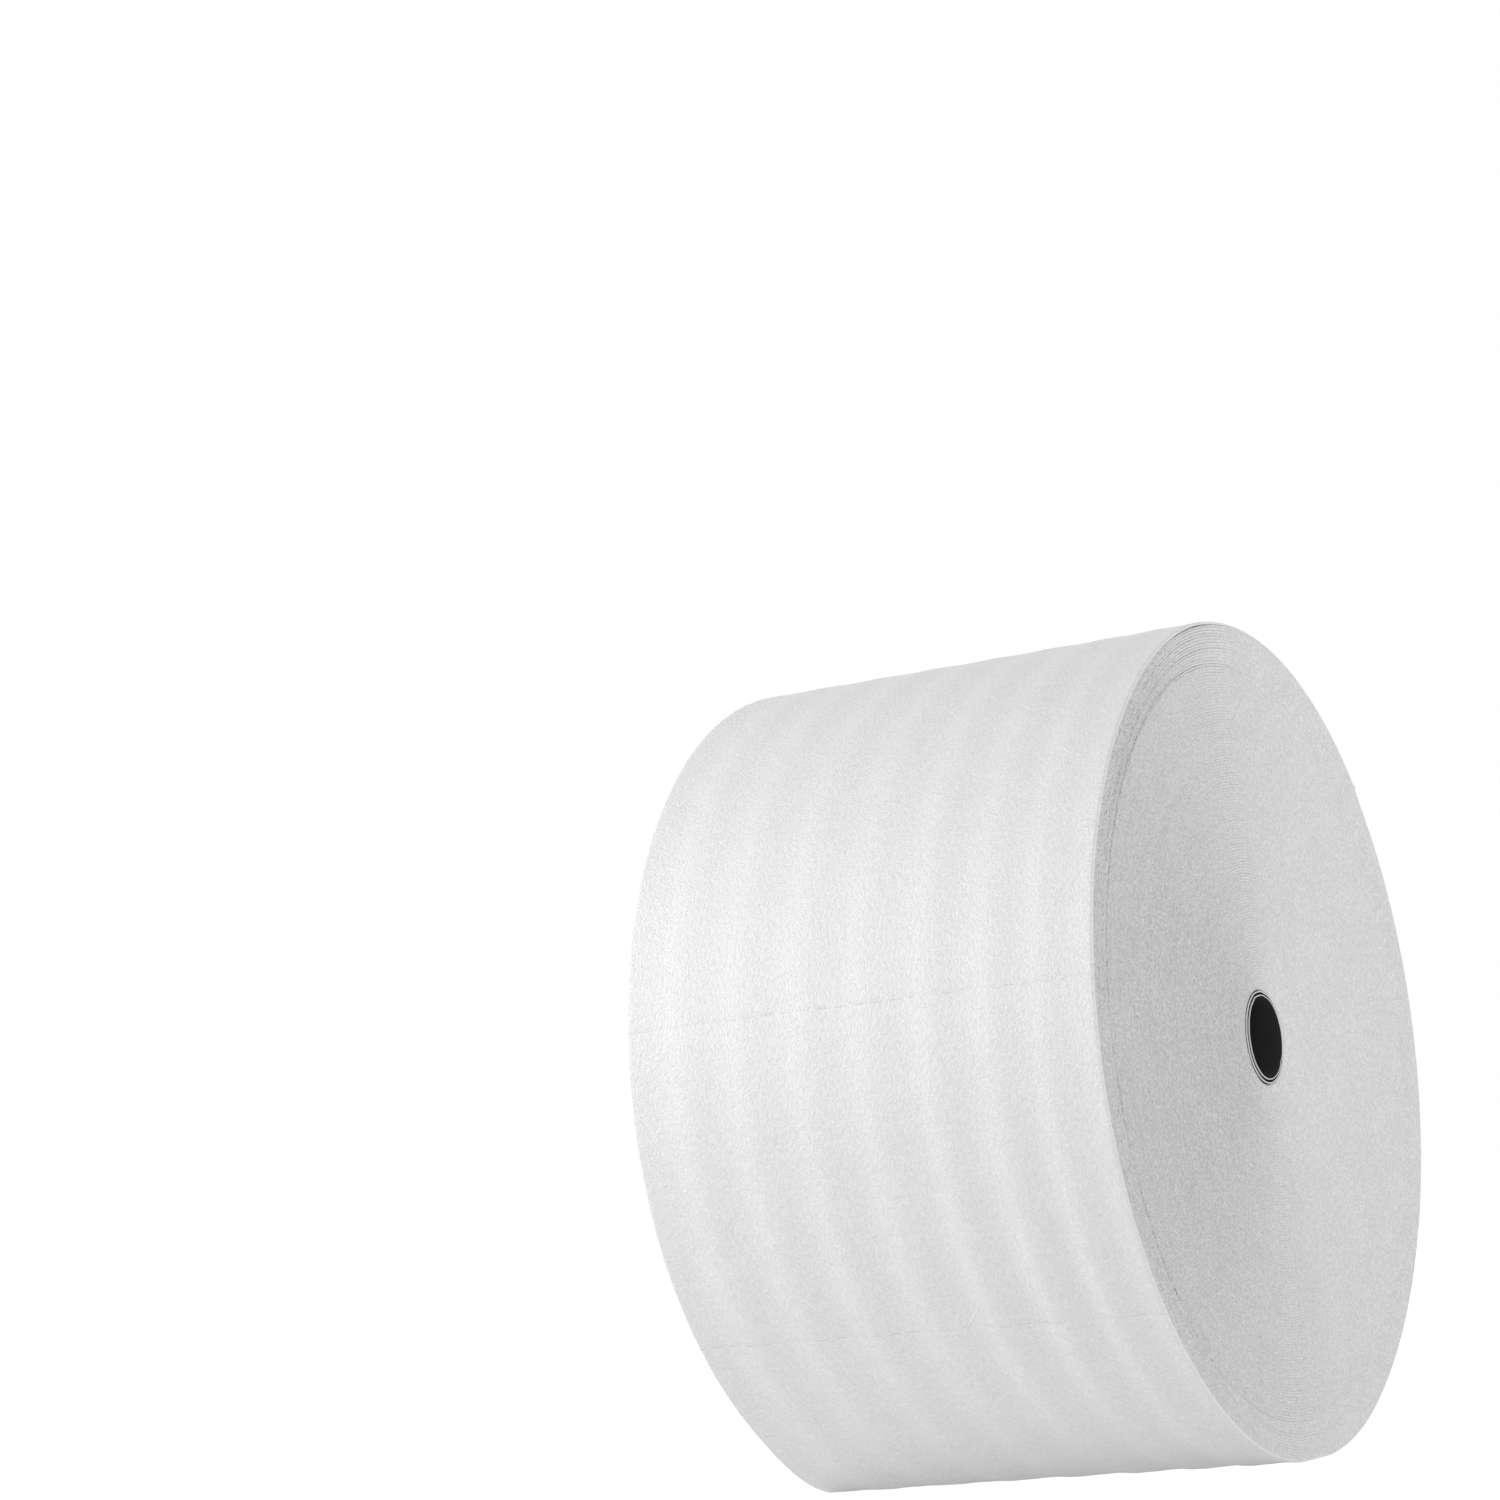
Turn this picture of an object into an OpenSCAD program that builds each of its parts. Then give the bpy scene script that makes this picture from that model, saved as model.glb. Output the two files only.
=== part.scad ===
// A wide roll of cushioning foam sheet on a paperboard core, lying on its side.
// X runs along the roll, Y across it and Z up. The roll rests on its soft flat spot at Z = 0.

/* [Foam roll] */

// Width of the foam sheet, which is the length of the roll
sheet_width = 457.2; // [300:0.1:620]
// Diameter over the crests of the outer turn
roll_diameter = 772; // [600:1:900]
// Radius that one turn of the sheet adds
turn_thickness = 2.75; // [2:0.05:3.6]
// How far the soft roll sinks where it lies on the floor
flat_sink = 3.3; // [2:0.1:5]
// Where the free end of the sheet lies, up from level behind the roll
tail_angle = 40; // [20:1:70]

/* [Gauge ribs] */

// Distance from one crest to the next along the roll
rib_pitch = 58.5; // [45:0.5:75]
// Height of a crest over the valleys beside it
rib_height = 2.2; // [1:0.1:3.5]

/* [Roll ends] */

// Radius of the rounded rim of the outer turns
rim_radius = 2.6; // [1.5:0.1:3]
// Outer turns that stand out in a band
band_turns = 14; // [8:1:16]
// How far that band stands out past the turns inside it
band_step = 4.6; // [3:0.1:6]
// How deep the end is dished at the core, from the rim
dish_depth = 7.2; // [6.4:0.1:9]
// Turns from one drawn groove to the next inside the band
turns_per_groove = 7; // [5:1:10]
// Width of the groove between two turns
groove_width = 0.9; // [0.5:0.1:1.3]
// Depth of the groove between two turns
groove_depth = 1.1; // [0.5:0.1:1.6]

/* [Core] */

// Bore of the paperboard core, for a dispenser's rod
core_bore = 76.2; // [60:0.1:102]
// Wall of the core
core_wall = 4.8; // [3:0.1:8]
// How far the core stands out of the foam around it
core_stand_out = 1.9; // [1:0.1:3]
// Rounding of the core's cut edges
core_edge = 0.6; // [0.3:0.1:1]
// Clearance between the core and the first turn
core_gap = 0; // [0:0.05:0.4]

/* [Hidden] */

$fn = 96;
roll_radius = roll_diameter / 2;
half_width = sheet_width / 2;
core_radius = core_bore / 2 + core_wall;
hole_radius = core_radius + core_gap;
core_length = sheet_width - 2 * (dish_depth - core_stand_out);
axis_height = roll_radius - flat_sink;

rib_radius = pow(rib_pitch / 2, 2) / (2 * rib_height) + rib_height / 2;
ribs_a_side = ceil(half_width / rib_pitch);

// The rounding of a rim starts where the arc of the nearest crest has dropped by rim_drop, and meets it at a slight edge.
rim_start = half_width - rim_radius;
rim_from_crest = abs(rim_start - round(rim_start / rib_pitch) * rib_pitch);
rim_drop = rib_radius - sqrt(pow(rib_radius, 2) - pow(rim_from_crest, 2));
rim_ease = 0.3;

// The outer turns are wound on as two half turns, half a turn's thickness apart, so the sheet ends in a step.
// They reach into the body of the other turns, which stays under them all round and a little inside their rims.
half_turn_shift = turn_thickness / 2;
wrap_cover = 0.5;
wrap_seat = 1.2;
rim_set = 0.6;
body_radius = roll_radius - turn_thickness - rib_height - wrap_cover;
wrap_depth = turn_thickness + rib_height + wrap_cover + wrap_seat;
band_radius = roll_radius - band_turns * turn_thickness;
band_rise = 0.6;
groove_pitch = turns_per_groove * turn_thickness;
band_grooves = floor((body_radius - wrap_seat - band_radius) / turn_thickness);
inner_grooves = floor((band_radius - hole_radius) / groove_pitch - 0.5);

// Half the length of the turns at radius r: a shallow dish, then a rise to the outer band.
function band_share(r) = min(1, max(0, (r - band_radius) / ((roll_radius - band_radius) * band_rise)));
function dish_share(r) = min(1, max(0, (r - hole_radius) / (band_radius - hole_radius)));
function face_at(r) =
    half_width - dish_depth
    + (dish_depth - band_step) * dish_share(r)
    + (band_step - rim_set) * (1 - pow(1 - band_share(r), 2));

// The three points of one groove between turns, from the outside in.
function groove_at(r) = [
    [r + groove_width / 2, face_at(r + groove_width / 2)],
    [r, face_at(r) - groove_depth],
    [r - groove_width / 2, face_at(r - groove_width / 2)]
];

// One end of the body, from its rim to the hole of the core.
function end_points() = [
    [body_radius, face_at(body_radius)],
    for (i = [1:band_grooves]) each groove_at(band_radius + (band_grooves - i) * turn_thickness),
    for (i = [1:inner_grooves]) each groove_at(band_radius - i * groove_pitch),
    [hole_radius, half_width - dish_depth]
];

function mirrored(points) = [for (i = [len(points) - 1:-1:0]) [points[i][0], -points[i][1]]];

// Every turn inside the outer ones.
module body_section() {
    polygon(concat(end_points(), mirrored(end_points())));
}

// The outer turns to the crest radius r: a row of shallow arcs that meet in the valleys.
module ribbed_strip(r) {
    intersection() {
        union() {
            for (i = [-ribs_a_side:ribs_a_side])
                translate([r - rib_radius, i * rib_pitch])
                    circle(r = rib_radius, $fn = 360);
        }
        translate([r - wrap_depth, -half_width])
            square([wrap_depth, sheet_width]);
    }
}

// The corner outside a rounded rim.
module rim_corner() {
    difference() {
        square(2 * rim_radius);
        circle(r = rim_radius);
    }
}

// The outer turns with rounded rims and a groove between two turns.
module wrap_section(r) {
    difference() {
        ribbed_strip(r);
        for (side = [0, 1])
            mirror([0, side]) {
                translate([r - rim_drop + rim_ease - rim_radius, rim_start])
                    rim_corner();
                translate([r - rim_drop - rim_radius - groove_width / 2, half_width])
                    polygon([[-groove_width / 2, 0], [0, -groove_depth], [groove_width / 2, 0]]);
            }
    }
}

module foam_roll() {
    color("white")
    translate([0, 0, axis_height])
    difference() {
        rotate([0, 90, 0])
        rotate([0, 0, 90 + tail_angle])
        union() {
            rotate_extrude()
                body_section();
            rotate_extrude(angle = 180)
                wrap_section(roll_radius);
            translate([-half_turn_shift, 0, 0])
                rotate([0, 0, 180])
                    rotate_extrude(angle = 180)
                        wrap_section(roll_radius - half_turn_shift);
        }
        translate([-sheet_width, -roll_diameter, -axis_height - roll_diameter])
            cube([2 * sheet_width, 2 * roll_diameter, roll_diameter]);
    }
}

module core_tube() {
    color("tan")
    translate([0, 0, axis_height])
    rotate([0, 90, 0])
    rotate_extrude()
        polygon([
            [core_bore / 2, -core_length / 2 + core_edge],
            [core_bore / 2 + core_edge, -core_length / 2],
            [core_radius - core_edge, -core_length / 2],
            [core_radius, -core_length / 2 + core_edge],
            [core_radius, core_length / 2 - core_edge],
            [core_radius - core_edge, core_length / 2],
            [core_bore / 2 + core_edge, core_length / 2],
            [core_bore / 2, core_length / 2 - core_edge]
        ]);
}

foam_roll();
core_tube();
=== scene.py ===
"""Looks of a wide roll of cushioning foam sheet on a paperboard core, lying on its side.

The sheet is wound from its free end at the back, over the top and down the front, so every turn lies
one thickness inside the turn before. All sizes are in metres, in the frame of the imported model: X runs
along the roll, Y away from the camera and Z up, with the flat spot of the roll on the floor at Z = 0.
Angles round the roll start at +Y and go up over the top.
"""

import logging
import math
from dataclasses import dataclass
from enum import Enum, IntEnum

import bpy
import numpy as np
from mathutils import Matrix, Vector


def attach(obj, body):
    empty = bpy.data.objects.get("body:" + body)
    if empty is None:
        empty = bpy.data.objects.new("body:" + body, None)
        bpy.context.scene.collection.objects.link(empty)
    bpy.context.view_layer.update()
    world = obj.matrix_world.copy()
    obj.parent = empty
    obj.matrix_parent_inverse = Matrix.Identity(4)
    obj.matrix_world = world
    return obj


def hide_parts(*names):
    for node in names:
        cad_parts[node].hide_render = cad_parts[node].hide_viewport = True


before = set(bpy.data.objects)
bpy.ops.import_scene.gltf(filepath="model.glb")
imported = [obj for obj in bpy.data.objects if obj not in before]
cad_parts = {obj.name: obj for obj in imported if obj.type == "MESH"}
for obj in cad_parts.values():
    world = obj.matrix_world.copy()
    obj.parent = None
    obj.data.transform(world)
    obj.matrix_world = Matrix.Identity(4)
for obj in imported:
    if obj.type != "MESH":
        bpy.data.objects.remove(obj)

LOG = logging.getLogger("foam_roll")
MM = 0.001
TURN = 2.0 * math.pi
JOIN = 0.0001 * MM

Colour = tuple[float, float, float, float]
Outline = tuple[tuple[float, float], ...]
WHITE: Colour = (1.0, 1.0, 1.0, 1.0)


class Side(Enum):
    """The two ends of the roll: NEAR faces the camera's side, +X."""

    NEAR = 1
    FAR = -1


class FoamFace(IntEnum):
    """The places of the foam's two finishes on its piece."""

    SKIN = 0
    CUT_EDGE = 1


class CoreFace(IntEnum):
    """The places of the core's two finishes on its piece."""

    BOARD = 0
    LINER = 1


# Small helpers for shapes.


def smooth_step(low: float, high: float, value: np.ndarray) -> np.ndarray:
    """Rises smoothly from 0 at low to 1 at high.

    Args:
        low: Where the rise starts.
        high: Where the rise ends.
        value: The values to place on the rise.

    Returns:
        The share of the rise at each value.
    """
    share = np.clip((np.asarray(value, float) - low) / (high - low), 0.0, 1.0)
    return share * share * (3.0 - 2.0 * share)


def bell(offset: np.ndarray, spread: float) -> np.ndarray:
    """A soft hump of height 1 round offset 0, with the given spread."""
    return np.exp(-0.5 * (np.asarray(offset, float) / spread) ** 2)


def away_from(angle: np.ndarray, degrees: float) -> np.ndarray:
    """Degrees from the given direction to each angle in radians, the short way round."""
    return (np.degrees(angle) - degrees + 180.0) % 360.0 - 180.0


@dataclass(frozen=True)
class Lobe:
    """A soft hump round one direction.

    Attributes:
        towards: Its direction round the roll, in degrees.
        spread: Its spread, in degrees.
        height: Its height.
    """

    towards: float
    spread: float
    height: float = 1.0

    def at(self, angle: np.ndarray) -> np.ndarray:
        """Height of the hump at angles in radians."""
        return self.height * bell(away_from(angle, self.towards), self.spread)


@dataclass(frozen=True)
class Waves:
    """Slow random unevenness over the roll, made of a few seeded waves.

    Attributes:
        seed: Seed of the waves.
        round_turn: Most waves in one turn.
        along: Most waves along the roll's length.
        count: How many waves are added up.
    """

    seed: int
    round_turn: int = 7
    along: float = 3.0
    count: int = 14

    def at(self, angle: np.ndarray, place: np.ndarray) -> np.ndarray:
        """Height of the waves, about -1 to 1.

        Args:
            angle: Angle round the roll, in radians.
            place: Place along the roll, as a share of its half length.

        Returns:
            The height at each point.
        """
        rng = np.random.default_rng(self.seed)
        total = np.zeros(np.broadcast(angle, place).shape)
        for _ in range(self.count):
            turns = rng.integers(1, self.round_turn + 1)
            along = rng.uniform(-self.along, self.along)
            phase = rng.uniform(0.0, TURN)
            total = total + np.sin(turns * angle + along * place + phase) / math.sqrt(turns)
        return total / math.sqrt(self.count)


@dataclass(frozen=True)
class Rib:
    """One gauge rib, a band where the sheet came out a little thicker.

    Attributes:
        place: Place of its crest along the roll.
        height: Height of its crest.
        rise: Spread of its steeper side, towards the far end.
        fall: Spread of its gentler side, towards the near end.
    """

    place: float
    height: float
    rise: float
    fall: float

    def at(self, place: np.ndarray) -> np.ndarray:
        """Height of the rib at places along the roll."""
        offset = np.asarray(place, float) - self.place
        return self.height * np.where(offset < 0.0, bell(offset, self.rise), bell(offset, self.fall))


@dataclass(frozen=True)
class Winding:
    """How the sheet is wound: the sizes that the barrel and both ends share.

    Attributes:
        radius: Radius over the crests of the outer turn.
        half_width: Half the width of the sheet.
        axis_height: Height of the roll's axis over the floor.
        turn: Thickness that one turn adds to the radius.
        hole: Radius of the hole round the core.
        rim: Radius of the rounded rims.
        tail_angle: Angle of the sheet's free end, in radians.
        tail_edge: Share of a turn in which the free end rises to its full thickness.
        tail_rounding: Share of that thickness that is rounded off at the edge.
        proud: How far the outer turn stands proud at its free end.
        proud_share: Share of a turn in which it settles.
        band: Radius inside which the ends are set back.
        band_step: How far they are set back there.
        band_foot: How far inside that radius the band starts to rise.
        band_top: How far outside it the band has risen.
        dish: How far they are set back at the core.
        whole_turns: Turns outside the last one round the core.
        steps: Stations round one turn.
        even_from: Share of a turn at which the evenly spaced stations start.
        crowding: Where the stations lie closer together, at the floor.
        waves: Slow unevenness of the outer surface.
        uneven: Height of those waves.
        ribs: The gauge ribs.
        rib_share: Share of the ribs' height that shows all round.
        rib_lobes: Where more of it shows.
        rib_waves: Slow change of that share.
        rib_change: How much it changes.
        front_swell: Where the outer turn swells at the front of the floor.
        back_swell: Where it swells behind.
        far_swell: Height of the front swelling at the far end.
        near_swell: Height of the front swelling at the near end, and of the one behind.
        swell_fade: Power with which the front swelling fades along the roll.
        slit_lobe: Where the near rim of the outer turn is loose.
        stand_off: How far it stands off there.
        loose_from: Share of the half width at which it starts to stand off.
        floor_sine: Sine of the dip under level below which the floor may press the roll.
    """

    radius: float = 386.0 * MM
    half_width: float = 228.6 * MM
    axis_height: float = 382.7 * MM
    turn: float = 2.75 * MM
    hole: float = 44.6 * MM
    rim: float = 2.2 * MM
    tail_angle: float = math.radians(40.0)
    tail_edge: float = 0.0002
    tail_rounding: float = 0.22
    proud: float = 1.1 * MM
    proud_share: float = 0.07
    band: float = 347.5 * MM
    band_step: float = 4.6 * MM
    band_foot: float = 3.0 * MM
    band_top: float = 20.0 * MM
    dish: float = 7.2 * MM
    whole_turns: int = 123
    steps: int = 110
    even_from: float = 0.006
    crowding: Lobe = Lobe(268.0, 20.0, 1.4)
    waves: Waves = Waves(7, 9, 4.0)
    uneven: float = 0.35 * MM
    ribs: tuple[Rib, ...] = (
        Rib(-232 * MM, 2.0 * MM, 14 * MM, 17 * MM),
        Rib(-170 * MM, 2.3 * MM, 13 * MM, 16 * MM),
        Rib(-109 * MM, 2.2 * MM, 12 * MM, 16 * MM),
        Rib(-47 * MM, 2.3 * MM, 12 * MM, 16 * MM),
        Rib(15 * MM, 2.2 * MM, 12 * MM, 17 * MM),
        Rib(75 * MM, 2.7 * MM, 11 * MM, 15 * MM),
        Rib(132 * MM, 2.8 * MM, 11 * MM, 15 * MM),
        Rib(182 * MM, 2.6 * MM, 9 * MM, 14 * MM),
        Rib(232 * MM, 2.2 * MM, 12 * MM, 14 * MM),
    )
    rib_share: float = 0.28
    rib_lobes: tuple[Lobe, ...] = (Lobe(223.0, 26.0, 1.3), Lobe(350.0, 40.0, 0.3), Lobe(135.0, 17.0, 0.35))
    rib_waves: Waves = Waves(31, 5, 2.0)
    rib_change: float = 0.1
    front_swell: Lobe = Lobe(254.0, 9.0)
    back_swell: Lobe = Lobe(288.0, 8.0)
    far_swell: float = 10.0 * MM
    near_swell: float = 1.5 * MM
    swell_fade: float = 1.6
    slit_lobe: Lobe = Lobe(104.0, 7.0)
    stand_off: float = 0.8 * MM
    loose_from: float = 0.6
    floor_sine: float = 0.05

    @property
    def rounded(self) -> float:
        """Share of a turn in which the edge of the free end is rounded."""
        return 5.0 * self.tail_edge

    @property
    def run_out(self) -> float:
        """Share of a turn in which the rounding of the rims runs out beside the free end."""
        return 14.0 * self.tail_edge

    def stations(self) -> np.ndarray:
        """Spaces the points round one turn, closer together at the free end and at the floor.

        Returns:
            Shares of a turn.
        """
        near_tail = [0.0, self.tail_edge, self.rounded, self.run_out]
        samples = 721
        even = np.linspace(self.even_from, 1.0, samples)
        passed = np.cumsum(1.0 + self.crowding.at(self.angle(even)))
        wanted = np.linspace(passed[0], passed[-1], self.steps - len(near_tail), endpoint=False)
        return np.concatenate([near_tail, np.interp(wanted, passed, even)])

    def angle(self, wound: np.ndarray) -> np.ndarray:
        """Angle round the roll after that many turns from the free end."""
        return self.tail_angle + TURN * np.asarray(wound, float)

    def at_tail(self, wound: np.ndarray) -> np.ndarray:
        """How far down the step of the free end the surface is, with its edge slightly rounded.

        Args:
            wound: Turns from the free end.

        Returns:
            1 at the foot of the free end, 0 on top of it.
        """
        wound = np.asarray(wound, float)
        wall = np.clip(1.0 - wound / self.tail_edge, 0.0, 1.0)
        rounding = self.tail_rounding * np.clip(1.0 - wound / self.rounded, 0.0, 1.0)
        return np.where(wound < 1.0, np.minimum(wall + rounding, 1.0), 0.0)

    def spiral(self, wound: np.ndarray) -> np.ndarray:
        """Outer radius of the sheet, a little proud near its free end.

        Args:
            wound: Turns from the free end.

        Returns:
            The radius at each point.
        """
        wound = np.asarray(wound, float)
        foot = self.at_tail(wound)
        proud = self.proud * (1.0 - smooth_step(0.0, self.proud_share, wound)) * (wound < 1.0)
        return self.radius - self.turn * (wound + foot) + proud * (1.0 - foot)

    def rib_height(self, angle: np.ndarray, place: np.ndarray) -> np.ndarray:
        """Height of the ribs under the nominal radius, which stand out most low down at the front.

        Args:
            angle: Angle round the roll.
            place: Place along the roll.

        Returns:
            The height at each point, at most 0.
        """
        share = self.rib_share
        for lobe in self.rib_lobes:
            share = share + lobe.at(angle)
        share = share * (1.0 + self.rib_change * self.rib_waves.at(angle, place / self.half_width))
        return share * (sum(rib.at(place) for rib in self.ribs) - max(rib.height for rib in self.ribs))

    def swell_at_floor(self, angle: np.ndarray, place: np.ndarray) -> np.ndarray:
        """How the outer turn swells over the floor at the front, most at the far end.

        Args:
            angle: Angle round the roll.
            place: Place along the roll.

        Returns:
            The added radius at each point.
        """
        front = self.front_swell.at(angle)
        back = self.back_swell.at(angle)
        far = np.clip(0.5 - 0.5 * np.asarray(place) / self.half_width, 0.0, 1.0) ** self.swell_fade
        return self.far_swell * front * far + self.near_swell * (front * (1.0 - far) + back)

    def barrel_radius(self, wound: np.ndarray, place: np.ndarray) -> np.ndarray:
        """Radius of the outer surface, with ribs, unevenness and the flat spot.

        Args:
            wound: Turns from the free end, from 0 to 1.
            place: Place along the roll.

        Returns:
            The radius at each point.
        """
        angle = self.angle(wound)
        uneven = self.uneven * self.waves.at(angle, place / self.half_width)
        radius = self.spiral(wound) + self.rib_height(angle, place) + uneven
        radius = np.minimum(radius, self.radius)
        radius = radius + self.swell_at_floor(angle, place) + self.loose_rim(angle, place)
        down = np.maximum(-np.sin(angle), self.floor_sine)
        low = np.sin(angle) < -self.floor_sine
        return np.where(low, np.minimum(radius, self.axis_height / down), radius)

    def loose_rim(self, angle: np.ndarray, place: np.ndarray) -> np.ndarray:
        """How far the outer turn's near rim stands off at the top, where the turn is loose."""
        share = smooth_step(self.loose_from, 1.0, np.asarray(place) / self.half_width)
        return self.stand_off * self.slit_lobe.at(angle) * share

    def set_back(self, radius: np.ndarray) -> np.ndarray:
        """How far an end lies inside the sheet's half width.

        Args:
            radius: Distance from the roll's axis.

        Returns:
            The depth at each radius.
        """
        inner = np.clip((radius - self.hole) / (self.band - self.hole), 0.0, 1.0)
        rise = smooth_step(self.band - self.band_foot, self.band + self.band_top, radius)
        return self.dish - (self.dish - self.band_step) * inner - self.band_step * rise

    def points(self, radius: np.ndarray, angle: np.ndarray, place: np.ndarray) -> np.ndarray:
        """Points in the model's frame, never under the floor.

        Args:
            radius: Distance from the roll's axis.
            angle: Angle round the axis.
            place: Place along the axis.

        Returns:
            An array with three columns.
        """
        radius, angle, place = np.broadcast_arrays(radius, angle, place)
        back = radius * np.cos(angle)
        up = np.maximum(self.axis_height + radius * np.sin(angle), 0.0)
        return np.stack([place.ravel(), back.ravel(), up.ravel()], axis=1)


@dataclass
class Patch:
    """Part of a mesh before it is joined to the rest.

    Attributes:
        points: Its points, three columns. Equal points of two patches are joined.
        quads: Corners of its faces, numbered within the patch.
        normals: Normal of each point, or zeros to leave it to the faces.
        sheet: Two coordinates for each point: metres wound, and metres across the sheet.
        finish: Its place among the piece's materials.
    """

    points: np.ndarray
    quads: np.ndarray
    normals: np.ndarray
    sheet: np.ndarray
    finish: int


def build_piece(name: str, patches: list[Patch]) -> bpy.types.Object:
    """Joins patches into one smooth-shaded mesh object.

    A face whose corners fall together keeps one of them, so it becomes a triangle.

    Args:
        name: Name of the piece.
        patches: Its patches.

    Returns:
        The new object, linked to the scene.
    """
    counts = np.cumsum([0] + [len(patch.points) for patch in patches])
    points = np.vstack([patch.points for patch in patches])
    quads = np.vstack([patch.quads + first for patch, first in zip(patches, counts)])
    normals = np.vstack([patch.normals for patch in patches])
    sheet = np.vstack([patch.sheet for patch in patches])
    finish = np.concatenate([np.full(len(patch.quads), patch.finish) for patch in patches])
    _, kept, joined = np.unique(np.round(points / JOIN), axis=0, return_index=True, return_inverse=True)
    corners = joined.ravel()[quads]
    apart = corners != np.roll(corners, -1, axis=1)
    loops = quads[apart]
    faces = [face[own].tolist() for face, own in zip(corners, apart)]
    mesh = bpy.data.meshes.new(name)
    mesh.from_pydata(points[kept].tolist(), [], faces)
    mesh.polygons.foreach_set("use_smooth", np.ones(len(quads), bool))
    mesh.polygons.foreach_set("material_index", finish)
    layer = mesh.uv_layers.new(name="sheet")
    layer.data.foreach_set("uv", sheet[loops].ravel())
    if np.any(normals):
        plain = np.zeros(len(loops) * 3)
        mesh.corner_normals.foreach_get("vector", plain)
        chosen = normals[loops]
        free = ~np.any(chosen, axis=1)
        chosen[free] = plain.reshape(-1, 3)[free]
        mesh.normals_split_custom_set(chosen.tolist())
    piece = bpy.data.objects.new(name, mesh)
    bpy.context.scene.collection.objects.link(piece)
    return piece


def grid_quads(rows: int, columns: int, closed: bool = False) -> np.ndarray:
    """Faces of a grid of points that are numbered row by row.

    They face away from the axis where the rows go round it and the columns go along it.

    Args:
        rows: Rows of points.
        columns: Points in a row.
        closed: Whether the last row is joined to the first.

    Returns:
        The corners of each face.
    """
    joined = rows if closed else rows - 1
    row, column = np.meshgrid(np.arange(joined), np.arange(columns - 1), indexing="ij")
    here = (row * columns + column).ravel()
    after = ((row + 1) % rows * columns + column).ravel()
    return np.stack([here, after, after + 1, here + 1], axis=1)


# Pieces.


@dataclass
class Barrel:
    """The outer turn of the sheet with its rounded rims and its free end.

    Attributes:
        winding: Sizes of the roll.
        columns: Points along the roll between the rims.
        rim_points: Points over each rounded rim.
    """

    winding: Winding
    columns: int = 150
    rim_points: int = 5

    def section(self) -> tuple[np.ndarray, np.ndarray]:
        """Lays out one line of points from the far rim to the near one.

        Returns:
            Their places along the roll, and how far each is rounded inwards.
        """
        winding = self.winding
        flat = winding.half_width - winding.rim
        bend = np.linspace(0.0, math.pi / 2.0, self.rim_points + 1)[1:]
        over = flat + winding.rim * np.sin(bend)
        inward = winding.rim * (1.0 - np.cos(bend))
        place = np.concatenate([-over[::-1], np.linspace(-flat, flat, self.columns), over])
        return place, np.concatenate([inward[::-1], np.zeros(self.columns), inward])

    def radius(self, wound: np.ndarray, place: np.ndarray, inward: np.ndarray) -> np.ndarray:
        """Radius of the surface, with the rims' rounding, which runs out at the free end.

        Args:
            wound: Turns from the free end.
            place: Place along the roll.
            inward: How far the rim is rounded inwards there.

        Returns:
            The radius at each point.
        """
        rounding = np.clip(np.minimum(wound, 1.0 - wound) / self.winding.run_out, 0.0, 1.0)
        return self.winding.barrel_radius(wound, place) - inward * rounding

    def patch(self) -> Patch:
        """Makes the surface from rim to rim.

        Returns:
            The surface.
        """
        wound = self.winding.stations()
        place, inward = self.section()
        turn, along = np.meshgrid(wound, place, indexing="ij")
        radius = self.radius(turn, along, inward[None, :])
        points = self.winding.points(radius, self.winding.angle(turn), along)
        sheet = np.stack([turn.ravel() * TURN * self.winding.radius, along.ravel()], axis=1)
        quads = grid_quads(len(wound), len(place), closed=True)
        return Patch(points, quads, np.zeros_like(points), sheet, FoamFace.SKIN)

    def rim_line(self, side: Side) -> tuple[np.ndarray, np.ndarray]:
        """The edge of a rim, where the end joins it.

        Args:
            side: Which end.

        Returns:
            Its radius and its place along the roll, at each station.
        """
        wound = self.winding.stations()
        place = np.full_like(wound, side.value * self.winding.half_width)
        return self.radius(wound, place, np.full_like(wound, self.winding.rim)), place


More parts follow.
